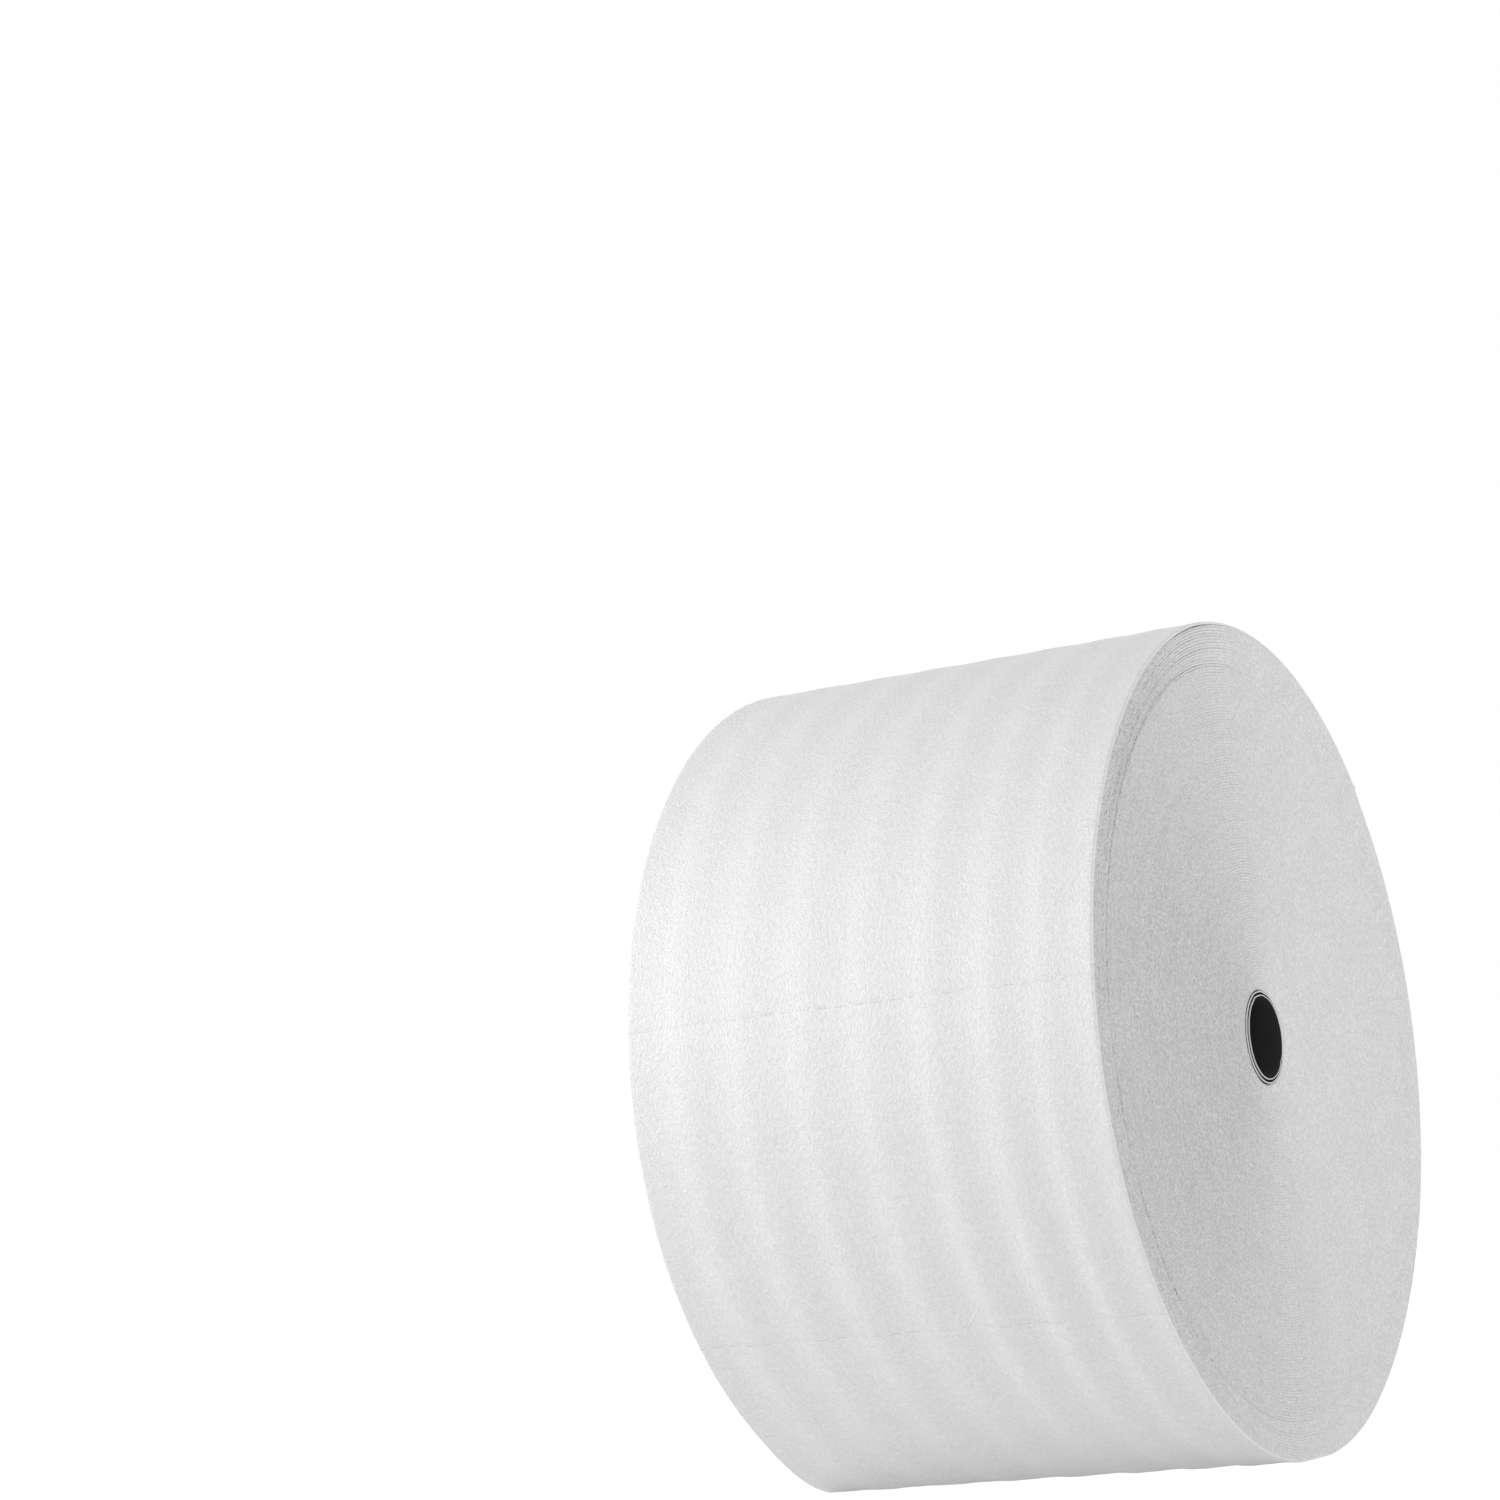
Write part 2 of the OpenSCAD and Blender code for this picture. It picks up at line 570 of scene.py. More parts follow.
@dataclass
class RollEnd:
    """The cut edges of all turns at one end of the roll, wound in a spiral down to the core.

    Attributes:
        barrel: The outer turn.
        side: Which end.
        loose_turns: Turns near the rim that lie unevenly.
        top: Where those lie most unevenly.
        free_share: Share of that unevenness that they have elsewhere.
        ring_turn: Turn outside which the set-back inner turns start.
        lean: How far the cut edges lean towards the core, in radians.
        band_lean: Share by which they lean less in the outer band.
        lean_change: How much the lean changes from turn to turn, in degrees.
        band_change: How much more it changes in the outer band, in degrees.
        lean_foot: How far inside the band's radius the lean starts to change.
        lean_top: How far outside it the lean has changed.
        soft: How far the normals bend over the corners of a tight turn, in degrees.
        soft_loose: How much further they bend in a loose turn, in degrees.
        ridge: Where the cut edge of a turn starts and ends, as shares of its thickness.
        first_ridge: Where the three points of the outermost turn lie behind its rounded rim.
        slit_share: How much of the second turn's thickness the slit under the loose rim takes.
        slit_depth: Depth of that slit.
        tight_uneven: How unevenly the tight turns lie.
        free_uneven: How much more unevenly the loosest turns lie.
        tight_gap: Depth of the gap between two tight turns.
        loose_gap: How much deeper it is between loose turns.
        free_gap: How much deeper it is between the loosest ones.
        ring_gap: How much deeper it is at the ring turn.
        press_fade: Power with which the outer surface's shape fades towards the core.
        seed: Seed of the turns' unevenness.
    """

    barrel: Barrel
    side: Side
    loose_turns: int = 15
    top: Lobe = Lobe(108.0, 32.0, 0.8)
    free_share: float = 0.2
    ring_turn: int = 14
    lean: float = math.radians(26.0)
    band_lean: float = 0.15
    lean_change: float = 0.8
    band_change: float = 2.2
    lean_foot: float = 6.0 * MM
    lean_top: float = 8.0 * MM
    soft: float = 4.0
    soft_loose: float = 8.0
    ridge: tuple[float, float] = (0.22, 0.80)
    first_ridge: tuple[float, float, float] = (0.0, 0.06, 0.14)
    slit_share: float = 0.3
    slit_depth: float = 4.0 * MM
    tight_uneven: float = 0.04 * MM
    free_uneven: float = 0.3 * MM
    tight_gap: float = 0.12 * MM
    loose_gap: float = 0.25 * MM
    free_gap: float = 0.45 * MM
    ring_gap: float = 0.35 * MM
    press_fade: int = 9
    seed: int = 3

    def patch(self) -> Patch:
        """Makes the end, from the rim to the mouth of the hole.

        Returns:
            The end.
        """
        winding = self.barrel.winding
        count, turns = winding.steps, winding.whole_turns
        wound = (np.arange(turns + 1)[:, None] + winding.stations()[None, :]).ravel()
        wound = np.append(wound, turns + 1.0)
        rows = len(wound)
        share = self.shares(wound)
        outer = winding.spiral(wound)
        inner = np.where(wound >= turns, winding.hole, winding.spiral(wound + 1.0))
        radius = outer[:, None] - (outer - inner)[:, None] * share
        angle = np.repeat(winding.angle(wound)[:, None], 3, axis=1)
        column = np.repeat(np.arange(3)[None, :], rows, axis=0)
        step = np.repeat(wound[:, None], 3, axis=1)
        place = self.side.value * (winding.half_width + self.height(radius, step, angle, column))
        shown = self.pressed(radius, angle)
        rim_radius, rim_place = self.barrel.rim_line(self.side)
        shown[:count, 0], place[:count, 0] = rim_radius, rim_place
        shown[count, 0], place[count, 0] = rim_radius[0], rim_place[0]
        points = winding.points(shown, angle, place)
        mouth_angle = winding.angle(winding.stations())
        mouth_place = self.side.value * (winding.half_width - winding.dish)
        mouth = winding.points(np.full(count, winding.hole), mouth_angle, np.full(count, mouth_place))
        quads = self.quads(rows, count, turns)
        normals = np.vstack([self.normals(radius, step, angle, column), np.zeros_like(mouth)])
        sheet = np.stack([radius.ravel(), angle.ravel()], axis=1)
        sheet = np.vstack([sheet, np.stack([np.full(count, winding.hole), mouth_angle], axis=1)])
        return Patch(np.vstack([points, mouth]), quads, normals, sheet, FoamFace.CUT_EDGE)

    def slit(self, wound: np.ndarray, angle: np.ndarray) -> np.ndarray:
        """Share of the slit under the loose near rim, in the second turn only.

        Args:
            wound: Turns from the free end.
            angle: Angle round the roll.

        Returns:
            The share at each point, 1 where the slit is widest.
        """
        second = (wound >= 1.0) & (wound < 2.0)
        return self.barrel.winding.slit_lobe.at(angle) * second * (self.side is Side.NEAR)

    def shares(self, wound: np.ndarray) -> np.ndarray:
        """Where each row's three points lie in the turn's thickness: the gap outside it, then its edge.

        Args:
            wound: Turns from the free end.

        Returns:
            Shares of the thickness, three to a row.
        """
        winding = self.barrel.winding
        share = np.stack([np.full_like(wound, place) for place in (0.0, *self.ridge)], axis=1)
        share[:, 1] += self.slit_share * self.slit(wound, winding.angle(wound))
        first = wound < 1.0
        rim = winding.rim / winding.turn * np.clip(wound / winding.run_out, 0.0, 1.0)
        for column, beyond in enumerate(self.first_ridge):
            share[first, column] = rim[first] + beyond
        return share

    def loose(self, wound: np.ndarray) -> np.ndarray:
        """1 in the loose turns near the rim, 0 in the tight ones inside."""
        return 1.0 - smooth_step(self.loose_turns - 2.0, self.loose_turns + 1.0, wound)

    def per_turn(self, wound: np.ndarray, seed: int) -> np.ndarray:
        """A random number for each turn, eased from one turn to the next.

        Args:
            wound: Turns from the free end.
            seed: Added to the end's own seed.

        Returns:
            The number at each point.
        """
        rng = np.random.default_rng(self.seed + seed + self.side.value)
        random = rng.normal(0.0, 1.0, self.barrel.winding.whole_turns + 4)
        return np.interp(wound, np.arange(len(random)), random)

    def height(
        self, radius: np.ndarray, wound: np.ndarray, angle: np.ndarray, column: np.ndarray
    ) -> np.ndarray:
        """How far the cut edges stand out past the sheet's half width, below 0 where they are set back.

        Args:
            radius: Radius of each point.
            wound: Turns from the free end.
            angle: Angle round the roll.
            column: 0 in the gap outside a turn, 1 and 2 on its edge.

        Returns:
            The height of each point.
        """
        winding = self.barrel.winding
        loose = self.loose(wound)
        free = loose * (self.free_share + self.top.at(angle))
        uneven = (self.tight_uneven + self.free_uneven * free) * self.per_turn(wound, 0)
        slant = (column == 1) * 0.5 - (column == 2) * 0.5
        slant = slant * (self.ridge[1] - self.ridge[0]) * winding.turn * np.tan(self.lean_at(radius, wound))
        gap = self.tight_gap + self.loose_gap * loose + self.free_gap * free
        gap = gap + self.ring_gap * (np.abs(wound - self.ring_turn) < 0.5)
        slit = self.slit_depth * self.slit(wound, angle)
        inside = np.where(wound < 1.0, 0.0, uneven + slant - (column == 0) * (gap + slit))
        return inside - winding.set_back(radius)

    def lean_at(self, radius: np.ndarray, wound: np.ndarray) -> np.ndarray:
        """How far the cut edge leans towards the core.

        Args:
            radius: Radius of each point.
            wound: Turns from the free end.

        Returns:
            The lean at each point, in radians.
        """
        winding = self.barrel.winding
        band = smooth_step(winding.band - self.lean_foot, winding.band + self.lean_top, radius)
        change = np.radians(self.lean_change + self.band_change * band) * self.per_turn(wound, 11)
        return self.lean * (1.0 - self.band_lean * band) + change

    def pressed(self, radius: np.ndarray, angle: np.ndarray) -> np.ndarray:
        """Moves the turns with the outer surface at the rim, less and less towards the core.

        Args:
            radius: Radius of each point.
            angle: Angle round the roll.

        Returns:
            The moved radius of each point.
        """
        winding = self.barrel.winding
        wound = np.clip(((angle - winding.tail_angle) / TURN) % 1.0, winding.run_out, 1.0)
        place = np.full_like(wound, self.side.value * (winding.half_width - winding.rim))
        moved = winding.barrel_radius(wound, place) - winding.spiral(wound)
        return radius + moved * (radius / winding.radius) ** self.press_fade

    def normals(
        self, radius: np.ndarray, wound: np.ndarray, angle: np.ndarray, column: np.ndarray
    ) -> np.ndarray:
        """Normals of the cut edges, which the knife left leaning towards the core with soft corners.

        Args:
            radius: Radius of each point.
            wound: Turns from the free end.
            angle: Angle round the roll.
            column: 0 in the gap outside a turn, 1 and 2 on its edge.

        Returns:
            The normal of each point, or zeros on the edge of the rim.
        """
        soft = np.radians(self.soft + self.soft_loose * self.loose(wound))
        lean = self.lean_at(radius, wound) + soft * ((column == 2) * 1.0 - (column == 1) * 1.0)
        out, inwards = self.side.value * np.cos(lean), -np.sin(lean)
        normals = np.stack([out, inwards * np.cos(angle), inwards * np.sin(angle)])
        normals[:, (wound < 1.0) & (column == 0)] = 0.0
        return normals.reshape(3, -1).T

    def quads(self, rows: int, count: int, turns: int) -> np.ndarray:
        """Joins the rows into the spiral, each turn's inner side to the next turn's outer side.

        The last two faces close the small step where the innermost turn starts.

        Args:
            rows: Rows of the spiral.
            count: Rows in one turn.
            turns: Turns outside the last.

        Returns:
            The corners of each face.
        """
        row = np.arange(rows - 1)
        after = row + 1
        mouth = 3 * rows
        last = row >= turns * count
        inside = np.where(last, mouth + row % count, 3 * (row + count))
        inside_after = np.where(last, mouth + after % count, 3 * (after + count))
        edges = [(3 * row + column, 3 * after + column) for column in range(3)] + [(inside, inside_after)]
        pairs = zip(edges, edges[1:])
        strips = [np.stack([a, a_after, b_after, b], axis=1) for (a, a_after), (b, b_after) in pairs]
        above = 3 * turns * count + 2
        outer, middle, inner = 3 * (rows - 1) + np.arange(3)
        step = [[above, mouth, inner, middle], [above, middle, outer, outer]]
        quads = np.vstack([*strips, step])
        return quads if self.side is Side.NEAR else quads[:, ::-1]


@dataclass
class FoamRoll:
    """The whole sheet, wound up: its barrel, its two ends and the wall of the hole."""

    winding: Winding

    def hole(self) -> Patch:
        """Makes the wall of the hole that the core stands in.

        Returns:
            The wall.
        """
        winding = self.winding
        angle = winding.angle(winding.stations())
        place = (winding.half_width - winding.dish) * np.array([-1.0, 1.0])
        rows, along = np.meshgrid(angle, place, indexing="ij")
        points = winding.points(np.full_like(rows, winding.hole), rows, along)
        quads = grid_quads(len(angle), 2, closed=True)[:, ::-1]
        sheet = np.stack([rows.ravel() * winding.hole, along.ravel()], axis=1)
        return Patch(points, quads, np.zeros_like(points), sheet, FoamFace.CUT_EDGE)

    def build(self, skin: bpy.types.Material, cut_edge: bpy.types.Material) -> bpy.types.Object:
        """Builds and dresses the sheet.

        Args:
            skin: Material of the sheet's face.
            cut_edge: Material of its cut edges.

        Returns:
            The sheet.
        """
        barrel = Barrel(self.winding)
        patches = [barrel.patch(), self.hole()]
        for side in Side:
            patches.append(RollEnd(barrel, side).patch())
        piece = build_piece("foam_sheet_wound", patches)
        piece.data.materials.append(skin)
        piece.data.materials.append(cut_edge)
        return piece


@dataclass
class Core:
    """The paperboard tube that the foam is wound on.

    Attributes:
        axis_height: Height of its axis.
        bore: Radius of its bore.
        outside: Radius of its outside.
        half_length: Half its length.
        plain: Share of the half length up to which its walls are drawn plain.
        ragged_from: Share of the half length beyond which its cut edges are ragged.
        ragged: How ragged they are.
        fibres: Waves that make them so.
        nicks: Where they are nicked, and how deep.
        tab: Where a bit of the inner ply is bent into the bore, and how far.
        tab_depth: How far from the bore's wall that bends the ply.
        inner_ply: Outline of the inner ply's cut edge in mm: out from the bore, and down from its top.
        outer_ply: The same for the outer ply, out from the outside.
        steps: Points round it.
        along: Points along it.
    """

    axis_height: float = 382.7 * MM
    bore: float = 38.1 * MM
    outside: float = 42.5 * MM
    half_length: float = 223.3 * MM
    plain: float = 0.991
    ragged_from: float = 0.99
    ragged: float = 0.2 * MM
    fibres: Waves = Waves(19, 23, 0.0, 20)
    nicks: tuple[Lobe, ...] = (Lobe(110.0, 5.0, 0.9 * MM), Lobe(75.0, 4.0, 0.6 * MM))
    tab: Lobe = Lobe(322.0, 3.0, 1.3 * MM)
    tab_depth: float = 1.2 * MM
    inner_ply: Outline = ((0.05, 0.25), (0.3, 0.0), (0.85, 0.0), (1.0, 0.2), (1.05, 1.1), (1.1, 6.0))
    outer_ply: Outline = ((-1.1, 6.0), (-1.0, 1.1), (-0.85, 0.9), (-0.2, 0.9), (0.0, 1.05), (0.0, 1.95))
    steps: int = 144
    along: int = 24

    def edge(self) -> tuple[np.ndarray, np.ndarray]:
        """Cut edge of the wall, whose two plies stand apart with a deep groove between them.

        Returns:
            Its radius from bore to outside, and its depth under the highest fibres.
        """
        radius = [self.bore + across * MM for across, _ in self.inner_ply]
        radius += [self.outside + across * MM for across, _ in self.outer_ply]
        depth = [down for _, down in self.inner_ply + self.outer_ply]
        return np.array(radius), np.array(depth) * MM

    def in_painted_shade(self, column: np.ndarray) -> np.ndarray:
        """Whether faces lie in the bore, in the groove or on the hidden outside.

        Args:
            column: Column of each face: along the bore, over the near edge, back along the outside and
                over the far edge.

        Returns:
            True where the near-black painted shade goes.
        """
        inner = len(self.inner_ply)
        ply = inner + len(self.outer_ply)
        after_bore = np.minimum(column - self.along, 2 * (self.along + ply) - 1 - column)
        groove = (after_bore >= inner - 2) & (after_bore < inner + 1)
        return (after_bore < 0) | groove | (after_bore >= ply - 1)

    def build(self, board: bpy.types.Material, painted_shade: bpy.types.Material) -> bpy.types.Object:
        """Builds and dresses the core.

        Args:
            board: Material of the outside and the cut ends.
            painted_shade: Near-black material painted as shade in the bore, the groove between the plies
                and the hidden outside.

        Returns:
            The core.
        """
        edge_radius, edge_depth = self.edge()
        span = np.linspace(-self.plain, self.plain, self.along) * self.half_length
        near = self.half_length - edge_depth
        bore, outside = np.full(self.along, self.bore), np.full(self.along, self.outside)
        radius = [bore, edge_radius, outside, edge_radius[::-1], bore[:1]]
        place = [span, near, span[::-1], -near[::-1], span[:1]]
        radius, place = np.concatenate(radius), np.concatenate(place)
        angle = np.linspace(0.0, TURN, self.steps + 1)
        rows, _ = np.meshgrid(angle, place, indexing="ij")
        at_end = (np.abs(place) > self.ragged_from * self.half_length)[None, :]
        ragged = self.ragged * (1.0 + self.fibres.at(rows, np.zeros_like(rows)))
        nick = sum(lobe.at(rows) for lobe in self.nicks)
        length = np.abs(place)[None, :] - at_end * (ragged + nick)
        at_bore = at_end * (radius < self.bore + self.tab_depth)[None, :]
        bent = radius[None, :] - at_bore * self.tab.at(rows)
        points = np.stack(
            [
                (length * np.sign(place)[None, :]).ravel(),
                (bent * np.cos(rows)).ravel(),
                (self.axis_height + bent * np.sin(rows)).ravel(),
            ],
            axis=1,
        )
        quads = grid_quads(len(angle), len(place))[:, ::-1]
        # Painted shade: the bore, the groove between the plies and the hidden outside get the near-black
        # material.
        in_painted_shade = self.in_painted_shade(quads.min(axis=1) % len(place))
        sheet = np.stack([(rows / TURN).ravel(), np.broadcast_to(place, rows.shape).ravel()], axis=1)
        patches = [
            Patch(points, quads[~in_painted_shade], np.zeros_like(points), sheet, CoreFace.BOARD),
            Patch(points, quads[in_painted_shade], np.zeros_like(points), sheet, CoreFace.LINER),
        ]
        piece = build_piece("core_tube_paper", patches)
        piece.data.materials.append(board)
        piece.data.materials.append(painted_shade)
        return piece


# Shader nodes.


class Nodes:
    """A node tree under construction, with short ways to add and join its nodes."""

    def __init__(self, tree: bpy.types.NodeTree) -> None:
        """Takes the tree that the nodes go into."""
        self.tree = tree

    def feed(self, socket: bpy.types.NodeSocket, value: object) -> None:
        """Links an output socket to an input, or sets a plain value on it.

        Args:
            socket: The input.
            value: The output socket or the plain value.
        """
        if isinstance(value, bpy.types.NodeSocket):
            self.tree.links.new(value, socket)
        else:
            socket.default_value = value

    def add(self, kind: str, **settings: object) -> bpy.types.Node:
        """Adds a node.

        Args:
            kind: The node's type, without its family name.
            settings: Properties by name, and sockets by name with spaces as underscores.

        Returns:
            The new node.
        """
        made = self.tree.nodes.new("ShaderNode" + kind)
        for name, value in settings.items():
            if hasattr(made, name):
                setattr(made, name, value)
            else:
                self.feed(made.inputs[name.replace("_", " ")], value)
        return made

    def math(self, operation: str, *values: object) -> bpy.types.NodeSocket:
        """Adds a math node.

        Args:
            operation: What it does.
            values: Its sockets or plain values, in order.

        Returns:
            Its output.
        """
        made = self.add("Math", operation=operation)
        for socket, value in zip(made.inputs, values):
            self.feed(socket, value)
        return made.outputs[0]

    def ramp(self, value: object, low: object, high: object) -> bpy.types.NodeSocket:
        """Adds a smooth rise from 0 to 1.

        Args:
            value: What is placed on the rise.
            low: Where the rise starts.
            high: Where the rise ends.

        Returns:
            Its output.
        """
        made = self.add("MapRange", interpolation_type="SMOOTHSTEP")
        for socket, given in zip(made.inputs, (value, low, high, 0.0, 1.0)):
            self.feed(socket, given)
        return made.outputs[0]

    def colours(self, factor: object, first: object, second: object) -> bpy.types.NodeSocket:
        """Adds a mix of two colours.

        Args:
            factor: Share of the second colour.
            first: The first colour.
            second: The second colour.

        Returns:
            Its output.
        """
        made = self.add("Mix", data_type="RGBA")
        for place, given in zip((0, 6, 7), (factor, first, second)):
            self.feed(made.inputs[place], given)
        return made.outputs[2]


class Group(Nodes):
    """A shader group that several materials share."""

    def __init__(self, name: str, inputs: dict[str, float | None], outputs: tuple[str, ...]) -> None:
        """Starts the group with its sockets.

        Args:
            name: Name of the group.
            inputs: Default value by name, or None for a vector.
            outputs: Names of its values.
        """
        super().__init__(bpy.data.node_groups.new(name, "ShaderNodeTree"))
        for socket, value in inputs.items():
            kind = "NodeSocketVector" if value is None else "NodeSocketFloat"
            made = self.tree.interface.new_socket(socket, in_out="INPUT", socket_type=kind)
            if value is not None:
                made.default_value = value
        for socket in outputs:
            self.tree.interface.new_socket(socket, in_out="OUTPUT", socket_type="NodeSocketFloat")
        self.given = self.tree.nodes.new("NodeGroupInput").outputs
        self.results = self.tree.nodes.new("NodeGroupOutput").inputs


def foam_cells_group() -> bpy.types.NodeTree:
    """Closed foam cells: pillows with thin walls between them, painted darker in the walls as painted
    shade, with slow random patches.

    Returns:
        The group, with the height of the cells and their colour share: slow random patches plus painted
        shade that follows the height.
    """
    group = Group("foam cells", {"Vector": None, "Cells": 450.0, "Patches": 25.0}, ("Height", "Tone and shade"))
    vector, cells, patches = group.given["Vector"], group.given["Cells"], group.given["Patches"]
    pillow = group.add("TexVoronoi", feature="SMOOTH_F1", Vector=vector, Scale=cells, Smoothness=0.5)
    grain_scale = group.math("MULTIPLY", cells, 0.5)
    grain = group.add("TexNoise", Vector=vector, Scale=grain_scale, Detail=5.0, Roughness=0.65)
    patch = group.add("TexNoise", Vector=vector, Scale=patches, Detail=3.0)
    crown = group.math("MULTIPLY", group.math("SUBTRACT", 1.0, pillow.outputs["Distance"]), 0.6)
    height = group.math("ADD", crown, grain.outputs[0])
    group.feed(group.results["Height"], height)
    # Painted shade: the colour share follows the cells' height, so the walls between cells come out darker
    # and the crowns lighter; the slow patches are real random variation.
    slow = group.math("MULTIPLY", patch.outputs[0], 0.15)
    tone_and_shade = group.math("ADD", slow, group.math("MULTIPLY", height, 0.7))
    group.feed(group.results["Tone and shade"], group.ramp(tone_and_shade, 0.45, 0.95))
    return group.tree


def perforation_group() -> bpy.types.NodeTree:
    """Lines of short slits across the sheet, where it tears off, half closed and broken in places.

    Returns:
        The group, with a mask of the slits, where painted shade goes, and the dip round each line.
    """
    sway_width, dip_width = 5.0 * MM, 4.0 * MM
    sizes = {"Pitch": 0.3048, "First line": 0.0, "Slit": 0.012, "Bridge": 0.006, "Width": 0.0008}
    group = Group("perforation", {"Wound": 0.0, "Across": 0.0, **sizes}, ("Mask", "Dip"))
    given = group.given
    place = group.add("CombineXYZ", X=given["Across"], Y=given["Wound"]).outputs[0]
    sway = group.add("TexNoise", Vector=place, Scale=8.0, Detail=2.0)
    worn = group.add("TexNoise", Vector=place, Scale=24.0, Detail=2.0)
    off = group.math("MULTIPLY", group.math("SUBTRACT", sway.outputs[0], 0.5), sway_width)
    from_line = group.math("SUBTRACT", group.math("ADD", given["Wound"], off), given["First line"])
    share = group.math("FRACT", group.math("ADD", group.math("DIVIDE", from_line, given["Pitch"]), 0.5))
    off_middle = group.math("ABSOLUTE", group.math("SUBTRACT", share, 0.5))
    away = group.math("MULTIPLY", off_middle, given["Pitch"])
    period = group.math("ADD", given["Slit"], given["Bridge"])
    dash = group.math("FRACT", group.math("DIVIDE", given["Across"], period))
    dashed = group.math("LESS_THAN", dash, group.math("DIVIDE", given["Slit"], period))
    open_here = group.ramp(given["Wound"], 0.6, 0.88)
    kept = group.math("MULTIPLY", group.ramp(worn.outputs[0], 0.38, 0.60), open_here)
    line = group.math("SUBTRACT", 1.0, group.ramp(away, 0.0, given["Width"]))
    group.feed(group.results["Mask"], group.math("MULTIPLY", group.math("MULTIPLY", line, dashed), kept))
    dip = group.math("SUBTRACT", 1.0, group.ramp(away, 0.0, dip_width))
    group.feed(group.results["Dip"], group.math("MULTIPLY", dip, open_here))
    return group.tree


def wound_paper_group() -> bpy.types.NodeTree:
    """Paperboard wound in a helix: seams of the strips, and short fibres.

    Returns:
        The group, with a mask of the seams and the height of the fibres.
    """
    seam_share = 0.012
    sizes = {"Turn": 0.0, "Along": 0.0, "Strip": 0.1}
    group = Group("wound paper", {"Vector": None, **sizes}, ("Seam", "Fibres"))
    given = group.given
    turns = group.math("ADD", group.math("DIVIDE", given["Along"], given["Strip"]), given["Turn"])
    edge = group.math("ABSOLUTE", group.math("SUBTRACT", group.math("FRACT", turns), 0.5))
    fibres = group.add("TexNoise", Vector=given["Vector"], Scale=900.0, Detail=4.0, Roughness=0.7)
    group.feed(group.results["Seam"], group.math("SUBTRACT", 1.0, group.ramp(edge, 0.0, seam_share)))
    group.feed(group.results["Fibres"], fibres.outputs[0])
    return group.tree


class Surface(Nodes):
    """A material under construction."""

    def __init__(self, name: str, groups: dict[str, bpy.types.NodeTree]) -> None:
        """Starts the material with its shader.

        Args:
            name: Name of the material.
            groups: The shared groups by name.
        """
        self.material = bpy.data.materials.new(name)
        self.material.use_nodes = True
        self.groups = groups
        super().__init__(self.material.node_tree)
        self.skin = self.tree.nodes["Principled BSDF"]

    def group(self, name: str, **settings: object) -> bpy.types.bpy_prop_collection:
        """Adds one of the shared groups.

        Args:
            name: Name of the group.
            settings: Its inputs by name with spaces as underscores.

        Returns:
            Its outputs.
        """
        made = self.add("Group", node_tree=self.groups[name])
        for socket, value in settings.items():
            self.feed(made.inputs[socket.replace("_", " ")], value)
        return made.outputs

    def where(self) -> bpy.types.NodeSocket:
        """Place in the piece's own metres."""
        return self.add("TexCoord").outputs["Object"]

    def sheet(self) -> tuple[bpy.types.NodeSocket, bpy.types.NodeSocket]:
        """Place on the sheet: wound and across."""
        split = self.add("SeparateXYZ", Vector=self.add("UVMap", uv_map="sheet").outputs[0])
        return split.outputs[0], split.outputs[1]


@dataclass(frozen=True)
class FoamFinish:
    """White closed-cell foam.

    Attributes:
        name: Name of the material.
        light: Colour of the cells' crowns, painted lighter as painted light on the raised tops.
        shade: Colour painted into the walls between cells as painted shade, and of duller random patches.
        shade: Colour of the cell walls and duller patches.
        roughness: Roughness of the skin.
        relief: Depth of the cells.
        cells: Cells in a metre.
        tears_off: Whether the tear-off lines show.
        shaded_slits: Colour painted into the open slits as painted shade inside the cuts.
        first_line: Length of sheet wound from the free end to a tear-off line.
        dip: How deep the sheet dips at those lines, as a share of the cells' depth.
    """

    name: str
    light: Colour
    shade: Colour
    roughness: float
    relief: float
    cells: float
    tears_off: bool = False
    shaded_slits: Colour = (0.66, 0.66, 0.67, 1.0)
    first_line: float = 0.8913
    dip: float = 0.5

    def build(self, groups: dict[str, bpy.types.NodeTree]) -> bpy.types.Material:
        """Builds the material.

        Args:
            groups: The shared groups by name.

        Returns:
            The material.
        """
        surface = Surface(self.name, groups)
        cells = surface.group("foam cells", Vector=surface.where(), Cells=self.cells)
        # Painted shade: the cells' height picks between the shade and light colours.
        shown, height = surface.colours(cells["Tone and shade"], self.shade, self.light), cells["Height"]
        if self.tears_off:
            wound, across = surface.sheet()
            shaded_slits = surface.group("perforation", Wound=wound, Across=across, First_line=self.first_line)
            # Painted shade: the slits' mask paints the darker colour into the cuts.
            shown = surface.colours(shaded_slits["Mask"], shown, self.shaded_slits)
            height = surface.math("SUBTRACT", height, surface.math("MULTIPLY", shaded_slits["Dip"], self.dip))
        bump = surface.add("Bump", Strength=1.0, Distance=self.relief, Height=height)
        surface.feed(surface.skin.inputs["Base Color"], shown)
        surface.feed(surface.skin.inputs["Normal"], bump.outputs[0])
        surface.skin.inputs["Roughness"].default_value = self.roughness
        return surface.material


